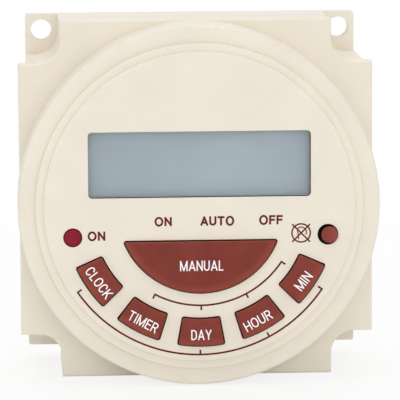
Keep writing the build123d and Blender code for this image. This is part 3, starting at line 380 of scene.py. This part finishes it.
face_plastic = cap_plastic("face_plastic")
base_plastic = grained("base_plastic", CREAM_BASE, 0.38, mottle=0.01, patch=11.0, grain=0.26, relief=0.006,
                       specular=0.35)
cell_film = grained("cell_film", CELL_GREY, 0.32, mottle=0.02, patch=10.0, grain=0.1, relief=0.001)
black_plastic = grained("black_plastic", (26, 25, 25), 0.5)
red_indicator = grained("red_indicator", (138, 14, 39), 0.5, mottle=0.05, patch=1.5, grain=0.1,
                        relief=0.001, specular=0.2)
finishes = {
    "front_cap": face_plastic,
    "base_housing": base_plastic,
    "rear_cover": base_plastic,
    "cover_screws": grained("screw_steel", (176, 176, 172), 0.3, patch=1.0, grain=0.1, metal=1.0),
    "window_lens": clear_plastic("clear_window", (250, 251, 252), 0.04),
    "lcd_polarizer": cell_film,
    "lcd_front_glass": clear_plastic("cell_glass", (226, 238, 232), 0.05),
    "lcd_rear_glass": clear_plastic("rear_cell_glass", (220, 234, 228), 0.05),
    "lcd_reflector": grained("reflector", (168, 176, 174), 0.35, metal=0.6),
    "lcd_frame": black_plastic,
    "zebra_strips": grained("pink_rubber", (196, 120, 128), 0.7, patch=1.0, grain=0.15),
    "contact_pads": grained("carbon_print", (30, 30, 32), 0.6, patch=1.0, grain=0.08),
    "microcontroller": grained("chip_black", (34, 34, 36), 0.55, patch=2.0, grain=0.1),
    "crystal": grained("can_metal", (190, 190, 186), 0.25, patch=2.0, grain=0.15, metal=1.0),
    "chip_components": grained("chip_ceramic", (150, 128, 100), 0.5, patch=1.0, grain=0.1),
    "indicator_led": red_indicator,
    "led_spacer": grained("spacer_white", (222, 220, 212), 0.5),
    "key_mat": grained("mat_rubber", (206, 202, 190), 0.6, patch=4.0, grain=0.15),
    "link_header": grained("header_black", (28, 28, 30), 0.5),
    "link_pins": grained("tinned_pins", (196, 190, 172), 0.25, patch=1.0, grain=0.1, metal=1.0),
    "film_capacitor": grained("yellow_plastic", (206, 158, 48), 0.35, patch=5.0, grain=0.3),
    "smoothing_capacitor": grained("can_sleeve", (34, 36, 44), 0.3, patch=4.0, grain=0.3),
    "varistor": grained("blue_coating", (36, 70, 128), 0.35, patch=2.0, grain=0.4, relief=0.02),
    "rectifier_diodes": grained("diode_body", (32, 32, 34), 0.4, patch=1.0, grain=0.1),
    "dropper_resistors": grained("resistor_coating", (112, 142, 160), 0.45, patch=1.5, grain=0.2),
    "driver_transistor": grained("transistor_body", (30, 30, 32), 0.5, patch=1.0, grain=0.12),
    "backup_battery": grained("cell_can", (178, 178, 176), 0.28, patch=3.0, grain=0.2, metal=1.0),
    "battery_tabs": grained("nickel_tab", (186, 182, 172), 0.3, patch=2.0, grain=0.15, metal=1.0),
    "relay_case": grained("relay_plastic", (30, 58, 112), 0.35, patch=5.0, grain=0.25),
    "relay_base": grained("relay_base_plastic", (28, 28, 30), 0.5),
    "relay_yoke": grained("magnet_iron", (150, 146, 138), 0.38, patch=2.0, grain=0.2, metal=1.0),
    "relay_core": grained("core_iron", (142, 138, 130), 0.4, patch=2.0, grain=0.2, metal=1.0),
    "relay_bobbin": grained("bobbin_plastic", (214, 206, 188), 0.5),
    "relay_winding": wound_wire("winding_copper", (176, 92, 44)),
    "relay_armature": grained("armature_iron", (154, 150, 142), 0.36, patch=2.0, grain=0.2, metal=1.0),
    "relay_spring": grained("contact_brass", (196, 156, 92), 0.28, patch=2.0, grain=0.2, metal=1.0),
    "relay_contacts": grained("contact_silver", (200, 176, 132), 0.28, patch=2.0, grain=0.2, metal=1.0),
}
board_finish = circuit_board("board")
screw_finish = grained("board_screw_steel", (170, 170, 168), 0.32, patch=1.0, grain=0.1, metal=1.0)
tab_finish = grained("tinned_brass", (198, 190, 166), 0.3, mottle=0.04, patch=1.5, grain=0.12, metal=1.0)
pill_finish = grained("carbon_rubber", (34, 33, 34), 0.7, patch=1.0, grain=0.12)
manual_finish = key_plastic("manual_key_plastic", MANUAL_RED, MANUAL_R)
sector_finish = key_plastic("small_key_plastic", SMALL_KEY_RED, SECTOR_OUTER_R)
for node in ("display_board", "power_board"):
    finishes[node] = board_finish
for node in ("display_board_screws", "power_board_screws"):
    finishes[node] = screw_finish
for number in TERMINAL_NUMBERS:
    finishes[f"terminal_{number}"] = tab_finish
for key in ("manual", "clock", "timer", "day", "hour", "minute", "cancel"):
    finishes[f"{key}_key"] = manual_finish if key == "manual" else sector_finish
    finishes[f"{key}_key_pill"] = pill_finish

for node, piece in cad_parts.items():
    for slot in piece.material_slots:
        slot.material = finishes[node]


# Printing on the face, the keys and the back, as thin solid shapes. Strokes that cross differ in height
# by a small step, so that their faces never lie in one plane. A line's corner is drawn out to a point
# down to a certain sharpness.
PRINT_HEIGHT = 0.03
STROKE_STEP = 0.002
STROKE_LEVELS = 4
SHARPEST_CORNER = 0.5


def piece_from(name, build, material, body):
    """Object whose mesh the build function fills, riding on a body."""
    mesh = bpy.data.meshes.new(name)
    solid = bmesh.new()
    build(solid)
    bmesh.ops.recalc_face_normals(solid, faces=solid.faces)
    solid.to_mesh(mesh)
    solid.free()
    mesh.materials.append(material)
    piece = bpy.data.objects.new(name, mesh)
    bpy.context.scene.collection.objects.link(piece)
    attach(piece, body)


def polar(radius, angle, centre):
    """Point on the face, from its radius and its angle in degrees about a centre."""
    return centre[0] + radius * cos(radians(angle)), centre[1] + radius * sin(radians(angle))


def band(solid, points, width, rear, front, closed=False):
    """Printed line of even width along a run of points, with mitred corners, between two depths."""
    count = len(points)
    left = []
    right = []
    for i, (x, z) in enumerate(points):
        before = points[i - 1] if closed or i else None
        after = points[(i + 1) % count] if closed or i < count - 1 else None
        ways = []
        if before is not None:
            ways.append(Vector((x - before[0], z - before[1])).normalized())
        if after is not None:
            ways.append(Vector((after[0] - x, after[1] - z)).normalized())
        along = sum(ways, Vector((0, 0))).normalized()
        across = Vector((-along.y, along.x))
        reach = width / 2 / max(SHARPEST_CORNER, along.dot(ways[0]))
        left.append((x + across.x * reach, z + across.y * reach))
        right.append((x - across.x * reach, z - across.y * reach))
    rows = [
        [solid.verts.new((x * MM, -depth * MM, z * MM)) for x, z in side]
        for side, depth in ((left, rear), (left, front), (right, front), (right, rear))
    ]
    last = count if closed else count - 1
    for a, b in zip(rows, rows[1:] + rows[:1]):
        for i in range(last):
            j = (i + 1) % count
            solid.faces.new((a[i], a[j], b[j], b[i]))
    if not closed:
        for i in (0, -1):
            solid.faces.new([row[i] for row in rows])


def printing_ink(name, colour, mottle=0.05, specular=0.5):
    """Satin printing ink."""
    return grained(name, colour, 0.5, mottle, patch=1.0, grain=0.08, relief=0.001, specular=specular)


print_ink = printing_ink("print_ink", PRINT_RED, specular=0.25)
legend_ink = printing_ink("legend_ink", LEGEND_WHITE, mottle=0.01)
number_ink = printing_ink("number_ink", NUMBER_GREY)

# Arcs that group the keys: centre, radius, the angles of the ticks from one end to the other, and the
# ticks' length, less than 0 where they point inwards
OUTER_ARC = ((-0.04, -0.25), 24.73, (-145.9, -90.0, -62.0, -34.1), -0.8)
INNER_ARC = ((0.15, -0.4), 16.2, (-118.5, -90.0, -62.3, -33.7), 0.8)
ARC_LINE = 0.3
ARC_PARTS = 72


def printed_arcs(solid):
    """The two arcs that group the keys, each with its ticks towards the keys."""
    front = FACE_DEPTH + PRINT_HEIGHT
    for centre, radius, ticks, tick_length in (OUTER_ARC, INNER_ARC):
        step = (ticks[-1] - ticks[0]) / ARC_PARTS
        points = [polar(radius, ticks[0] + step * i, centre) for i in range(ARC_PARTS + 1)]
        tips = [polar(radius + tick_length, angle, centre) for angle in ticks]
        band(solid, [tips[0]] + points + [tips[-1]], ARC_LINE, FACE_DEPTH, front)
        for angle, tip in list(zip(ticks, tips))[1:-1]:
            band(solid, [polar(radius, angle, centre), tip], ARC_LINE, FACE_DEPTH, front + STROKE_STEP)


piece_from("printed_arcs", printed_arcs, print_ink, "casing")


# Plain stroke lettering. A letter is drawn in a box of height 1 and of its own width, as strokes that are
# runs of points. The small o is the wide, closed O of the face.
LETTER_GAP = 0.12
CLOSED_LETTERS = "Oo"
BOW_PARTS = 10


def bow(x, z, reach_x, reach_z, start, end):
    """Points on part of an ellipse, for the round parts of a letter."""
    turns = [radians(start + (end - start) * i / BOW_PARTS) for i in range(BOW_PARTS + 1)]
    return [(x + reach_x * cos(turn), z + reach_z * sin(turn)) for turn in turns]


LETTERS = {
    "A": (0.70, [[(0.12, 0.27), (0.58, 0.27)], [(0.35, 1), (0, 0)], [(0.35, 1), (0.70, 0)]]),
    "C": (0.62, [bow(0.31, 0.62, 0.31, 0.38, 22, 180) + bow(0.31, 0.38, 0.31, 0.38, 180, 338)]),
    "D": (0.62, [[(0, 0), (0, 1)],
                 [(0, 1)] + bow(0.24, 0.62, 0.38, 0.38, 90, 0) + bow(0.24, 0.38, 0.38, 0.38, 0, -90)
                 + [(0, 0)]]),
    "E": (0.52, [[(0.52, 1), (0, 1), (0, 0), (0.52, 0)], [(0, 0.52), (0.47, 0.52)]]),
    "F": (0.50, [[(0.50, 1), (0, 1), (0, 0)], [(0, 0.5), (0.44, 0.5)]]),
    "H": (0.62, [[(0, 0), (0, 1)], [(0.62, 0), (0.62, 1)], [(0, 0.52), (0.62, 0.52)]]),
    "I": (0.16, [[(0.08, 0), (0.08, 1)]]),
    "K": (0.62, [[(0, 0), (0, 1)], [(0.58, 1), (0, 0.3)], [(0.2, 0.54), (0.62, 0)]]),
    "L": (0.48, [[(0, 1), (0, 0), (0.48, 0)]]),
    "M": (0.80, [[(0, 0), (0, 1)], [(0.80, 0), (0.80, 1)], [(0, 1), (0.40, 0)], [(0.80, 1), (0.40, 0)]]),
    "N": (0.64, [[(0, 0), (0, 1)], [(0.64, 0), (0.64, 1)], [(0, 1), (0.64, 0)]]),
    "O": (0.68, [bow(0.34, 0.6, 0.34, 0.4, 0, 180) + bow(0.34, 0.4, 0.34, 0.4, 180, 360)]),
    "o": (0.97, [bow(0.485, 0.49, 0.485, 0.56, 0, 180)
                 + bow(0.485, 0.49, 0.485, 0.56, 180, 360)[1:-1]]),
    "R": (0.60, [[(0, 0), (0, 1)],
                 [(0, 1), (0.32, 1)] + bow(0.32, 0.75, 0.26, 0.25, 80, -90) + [(0, 0.5)],
                 [(0.33, 0.5), (0.60, 0)]]),
    "T": (0.60, [[(0, 1), (0.60, 1)], [(0.30, 1), (0.30, 0)]]),
    "U": (0.62, [[(0, 1)] + bow(0.31, 0.31, 0.31, 0.31, 180, 360) + [(0.62, 1)]]),
    "Y": (0.64, [[(0.32, 0.42), (0.32, 0)], [(0, 1), (0.32, 0.42)], [(0.64, 1), (0.32, 0.42)]]),
    "1": (0.30, [[(0.02, 0.76), (0.28, 1), (0.28, 0)]]),
    "2": (0.56, [bow(0.28, 0.71, 0.28, 0.29, 165, -35) + [(0, 0), (0.56, 0)]]),
    "3": (0.56, [bow(0.27, 0.76, 0.25, 0.24, 150, -90), bow(0.27, 0.26, 0.29, 0.26, 90, -150)]),
    "4": (0.60, [[(0.44, 0), (0.44, 1), (0, 0.28), (0.60, 0.28)]]),
    "5": (0.56, [[(0.52, 1), (0.08, 1), (0.05, 0.56)] + bow(0.27, 0.33, 0.29, 0.33, 125, -150)]),
}


def stretched(run, reach):
    """The same run of points with its two ends drawn out by that reach."""
    first = (Vector(run[0]) - Vector(run[1])).normalized() * reach
    last = (Vector(run[-1]) - Vector(run[-2])).normalized() * reach
    ends = [(run[0][0] + first.x, run[0][1] + first.y), (run[-1][0] + last.x, run[-1][1] + last.y)]
    return [ends[0]] + run[1:-1] + [ends[1]]


def word(name, text, size, line, depth, material, body, centre, turn=0.0, side=1, widths=None):
    """Word of stroke letters that fills a box of that size about a centre, turned by degrees.

    It stands on a front face with side 1, and on a rear face, to be read from behind, with side -1.
    widths gives some of the letters other widths than their own.
    """
    width, height = size
    shares = [(widths or {}).get(letter, LETTERS[letter][0]) for letter in text]
    unit = width / (sum(shares) + LETTER_GAP * (len(text) - 1))

    def draw(solid):
        left = -width / 2
        level = 0
        for letter, share in zip(text, shares):
            letter_width, strokes = LETTERS[letter]
            closed = letter in CLOSED_LETTERS
            wide = (share * unit - line) / letter_width

            def at(point):
                across = left + line / 2 + point[0] * wide
                up = (point[1] - 0.5) * (height - line)
                return (centre[0] + side * (across * cos(radians(turn)) - up * sin(radians(turn))),
                        centre[1] + across * sin(radians(turn)) + up * cos(radians(turn)))

            for stroke in strokes:
                run = [at(point) for point in stroke]
                if not closed:
                    run = stretched(run, line / 2)
                front = depth + side * (PRINT_HEIGHT + STROKE_STEP * (level % STROKE_LEVELS))
                band(solid, run, line, depth, front, closed)
                level += 1
            left += (share + LETTER_GAP) * unit

    piece_from(name, draw, material, body)


# Words on the face, in wider letters than those on the keys: name, text, and the left, right, lower and
# upper end of the box that a word fills
FACE_LETTER_WIDTHS = {"A": 0.87, "F": 0.68, "N": 0.8, "T": 0.8, "U": 0.81}
FACE_LINE = 0.33
FACE_WORDS = (
    ("word_on_indicator", "oN", -18.77, -15.82, -5.42, -3.9),
    ("word_on", "oN", -7.59, -4.7, -3.1, -1.6),
    ("word_auto", "AUTo", 0.09, 5.74, -3.12, -1.56),
    ("word_off", "oFF", 9.91, 13.87, -3.06, -1.5),
)
for name, text, left, right, low, high in FACE_WORDS:
    word(name, text, (right - left, high - low), FACE_LINE, FACE_DEPTH, print_ink, "casing",
         ((left + right) / 2, (low + high) / 2), widths=FACE_LETTER_WIDTHS)


# Legends on the keys: key, text, width, centre and turn in degrees
LEGEND_HEIGHT = 1.73
LEGEND_LINE = 0.205
LEGENDS = (
    ("manual", "MANUAL", 7.24, (0.21, -9.77), 0.0),
    ("clock", "CLOCK", 5.87, (-16.96, -12.4), -54.0),
    ("timer", "TIMER", 5.35, (-9.63, -19.13), -28.5),
    ("day", "DAY", 3.4, (0.1, -21.5), 0.0),
    ("hour", "HOUR", 4.95, (9.61, -19.23), 28.5),
    ("minute", "MIN", 3.15, (17.25, -12.61), 52.0),
)
for key, text, width, centre, turn in LEGENDS:
    word(f"legend_{key}", text, (width, LEGEND_HEIGHT), LEGEND_LINE, KEY_DEPTH, legend_ink, f"{key}_key",
         centre, turn)


# Plain numbers over the rear terminals, to be read from behind. They stand on the mounting plane.
NUMBER_Z = -11.4
NUMBER_HEIGHT = 2.3
NUMBER_WIDTH = 1.3
NUMBER_ONE_WIDTH = 0.8
NUMBER_LINE = 0.3
for number in TERMINAL_NUMBERS:
    low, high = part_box(f"terminal_{number}")
    width = NUMBER_ONE_WIDTH if number == 1 else NUMBER_WIDTH
    word(f"number_{number}", str(number), (width, NUMBER_HEIGHT), NUMBER_LINE, 0.0, number_ink, "casing",
         ((low.x + high.x) / 2 / MM, NUMBER_Z), side=-1)


# Symbol beside the cancel key: a ring, an open dial and its hand in it, and a cross over both. The dial's
# centre and the ends of the hand are given from the centre of the ring.
SYMBOL_CENTRE = Vector((16.95, -4.57))
SYMBOL_LINE = 0.25
SYMBOL_FINE_LINE = 0.17
RING_R = 1.54
CROSS_REACH = 1.5
DIAL_CENTRE = Vector((0.04, 0.16))
DIAL_R = 0.84
DIAL_ANGLES = range(-30, 151, 10)
HAND = (Vector((-0.62, 0.55)), Vector((-0.42, -1.0)))


def cancel_symbol(solid):
    """Crossed-out clock: a ring with a smaller open dial and its hand in it, and a cross over them."""
    front = FACE_DEPTH + PRINT_HEIGHT
    ring = [polar(RING_R, angle, SYMBOL_CENTRE) for angle in range(0, 360, 8)]
    band(solid, ring, SYMBOL_LINE, FACE_DEPTH, front, closed=True)
    dial = [polar(DIAL_R, angle, SYMBOL_CENTRE + DIAL_CENTRE) for angle in DIAL_ANGLES]
    band(solid, dial, SYMBOL_FINE_LINE, FACE_DEPTH, front + 5 * STROKE_STEP)
    for side in (-1, 1):
        arm = Vector((side * CROSS_REACH, CROSS_REACH))
        band(solid, [SYMBOL_CENTRE - arm, SYMBOL_CENTRE + arm], SYMBOL_LINE, FACE_DEPTH,
             front + (2 + side) * STROKE_STEP)
    hand = [SYMBOL_CENTRE + end for end in HAND]
    band(solid, hand, SYMBOL_FINE_LINE, FACE_DEPTH, front + 4 * STROKE_STEP)


piece_from("cancel_symbol", cancel_symbol, print_ink, "casing")


# Floor that sweeps up into a backdrop. All its sizes are in metres, with the level of the floor at 0.
FLOOR_GAP = 0.05 * MM
FLOOR_Z = cad_bounds[0].z - FLOOR_GAP
FLOOR_REACH = 3.0
SWEEP_START = 1.2
SWEEP_R = 0.8
BACKDROP_TOP = 3.0

# The floor's own glow grows from a share near the part to all of it further off
GLOW_NEAR = 0.05
GLOW_FAR = 0.35
GLOW_SHARE_NEAR = 0.8
GLOW_SHARE_FAR = 1.0


def seen_directly(tree):
    """1 for the rays that show the background: from the camera, in a reflection or through glass."""
    path = tree.nodes.new("ShaderNodeLightPath")
    gloss = reckoned(tree, "MAXIMUM", path.outputs["Is Camera Ray"], path.outputs["Is Glossy Ray"])
    return reckoned(tree, "MAXIMUM", gloss, path.outputs["Is Transmission Ray"])


def mixed(tree, factor, first, second, output):
    """Send a mix of two shaders to an output node."""
    mix = tree.nodes.new("ShaderNodeMixShader")
    tree.links.new(factor, mix.inputs["Fac"])
    tree.links.new(first, mix.inputs[1])
    tree.links.new(second, mix.inputs[2])
    tree.links.new(mix.outputs["Shader"], tree.nodes[output].inputs["Surface"])


def white_floor():
    """Matt white floor: it shows the soft shadow near the part, and plain white further off."""
    material = grained("floor_white", FLOOR_WHITE, 0.9, mottle=0.0, patch=300.0, grain=40.0, relief=0.01)
    tree = material.node_tree
    glow = tree.nodes.new("ShaderNodeEmission")
    glow.inputs["Color"].default_value = (1, 1, 1, 1)
    glow.inputs["Strength"].default_value = 1.0
    place = tree.nodes.new("ShaderNodeTexCoord")
    distance = tree.nodes.new("ShaderNodeVectorMath")
    distance.operation = "LENGTH"
    tree.links.new(place.outputs["Object"], distance.inputs[0])
    share = mapped(tree, distance.outputs["Value"], GLOW_NEAR, GLOW_FAR, GLOW_SHARE_NEAR, GLOW_SHARE_FAR)
    factor = reckoned(tree, "MULTIPLY", share, seen_directly(tree))
    mixed(tree, factor, shader_of(material).outputs["BSDF"], glow.outputs["Emission"], "Material Output")
    return material


def make_floor():
    """White sweep: flat under the part and curved up far behind it."""
    mesh = bpy.data.meshes.new("floor")
    solid = bmesh.new()
    profile = [(-FLOOR_REACH, 0.0), (SWEEP_START, 0.0)]
    for angle in range(10, 91, 10):
        turn = radians(angle)
        profile.append((SWEEP_START + SWEEP_R * sin(turn), SWEEP_R - SWEEP_R * cos(turn)))
    profile.append((SWEEP_START + SWEEP_R, BACKDROP_TOP))
    left, right = [
        [solid.verts.new((x, y, FLOOR_Z + z)) for y, z in profile] for x in (-FLOOR_REACH, FLOOR_REACH)
    ]
    for i in range(len(profile) - 1):
        solid.faces.new((left[i], right[i], right[i + 1], left[i + 1]))
    solid.to_mesh(mesh)
    solid.free()
    for face in mesh.polygons:
        face.use_smooth = True
    floor = bpy.data.objects.new("floor", mesh)
    floor.data.materials.append(white_floor())
    bpy.context.scene.collection.objects.link(floor)


make_floor()


# Lamps, with places and sizes in metres and powers in watts
def make_lamp(name, place, power, width, height):
    """Rectangular studio lamp that faces the part."""
    light = bpy.data.lights.new(name, "AREA")
    light.energy = power
    light.shape = "RECTANGLE"
    light.size = width
    light.size_y = height
    lamp = bpy.data.objects.new(name, light)
    lamp.location = place
    lamp.rotation_euler = (-Vector(place)).to_track_quat("-Z", "Y").to_euler()
    bpy.context.scene.collection.objects.link(lamp)


make_lamp("key_light", (-0.1, -0.42, 1.0), power=2.0, width=1.0, height=0.8)
make_lamp("top_light", (0.0, 0.35, 1.0), power=2.7, width=0.8, height=0.5)
make_lamp("front_light", (0.05, -1.0, 0.2), power=1.9, width=0.8, height=0.4)

# World: its level as a light on the part, and plain white where it shows as the background
WORLD_LEVEL = 0.61
BACKGROUND_LEVEL = 1.0


def make_world():
    """White surroundings."""
    world = bpy.data.worlds.new("studio")
    world.use_nodes = True
    tree = world.node_tree
    light = tree.nodes["Background"]
    backdrop = tree.nodes.new("ShaderNodeBackground")
    for node, level in ((light, WORLD_LEVEL), (backdrop, BACKGROUND_LEVEL)):
        node.inputs["Color"].default_value = (1, 1, 1, 1)
        node.inputs["Strength"].default_value = level
    mixed(tree, seen_directly(tree), light.outputs["Background"], backdrop.outputs["Background"],
          "World Output")
    bpy.context.scene.world = world


make_world()

bpy.context.scene.view_settings.view_transform = "Standard"
